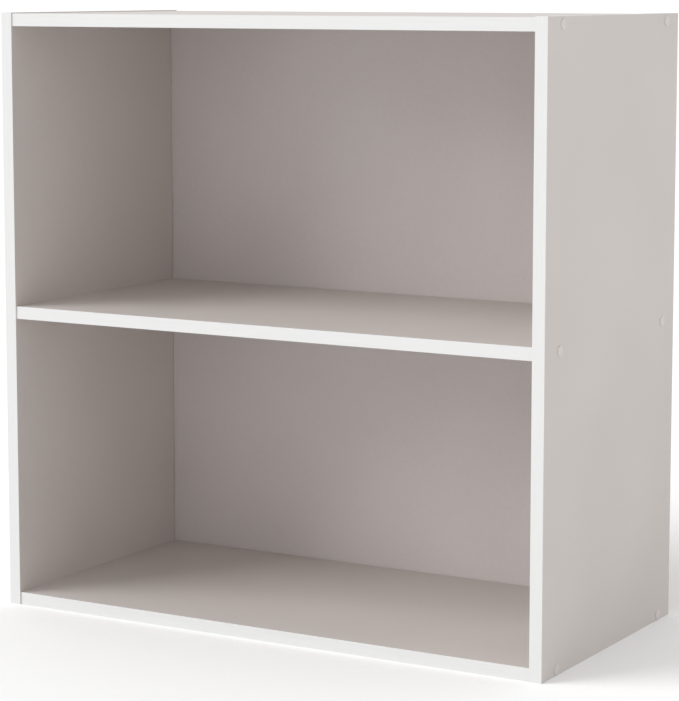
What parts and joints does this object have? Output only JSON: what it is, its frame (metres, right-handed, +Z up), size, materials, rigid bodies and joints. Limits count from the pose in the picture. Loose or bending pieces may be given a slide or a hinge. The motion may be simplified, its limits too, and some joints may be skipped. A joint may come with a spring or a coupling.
{
  "type": "open bookcase",
  "caption": "Open bookcase carcass with two equal compartments: melamine-faced chipboard panels with edging, grooved-in back, screwed and dowelled joints.",
  "frame": {"origin": "centre of the footprint, on the plane that the case stands on", "axes": "+X to the right of someone facing the open front, +Y to the back, +Z up"},
  "size_m": [0.767, 0.375, 0.765],
  "materials": {
    "melamine_board": "chipboard faced with warm light grey melamine, matt, fine-textured",
    "hardboard": "3 mm hardboard, warm grey foil in front, bare brown at the rear",
    "edging": "white ABS edging, satin",
    "cap": "moulded polyethylene cap, warm light grey, matt",
    "steel": "zinc-plated steel",
    "beech": "fluted beech, bare"
  },
  "bodies": {
    "root": {"left_side_panel": "melamine_board", "right_side_panel": "melamine_board", "top_panel": "melamine_board", "middle_shelf": "melamine_board", "bottom_panel": "melamine_board", "back_panel": "hardboard", "left_side_front_edging": "edging", "left_side_top_edging": "edging", "left_side_foot_edging": "edging", "right_side_front_edging": "edging", "right_side_top_edging": "edging", "right_side_foot_edging": "edging", "top_panel_front_edging": "edging", "middle_shelf_front_edging": "edging", "bottom_panel_front_edging": "edging", "left_side_screw_caps": "cap", "right_side_screw_caps": "cap", "top_panel_screws": "steel", "middle_shelf_screws": "steel", "bottom_panel_screws": "steel", "top_panel_dowels": "beech", "middle_shelf_dowels": "beech", "bottom_panel_dowels": "beech", "back_panel_pins": "steel"}
  },
  "joints": []
}
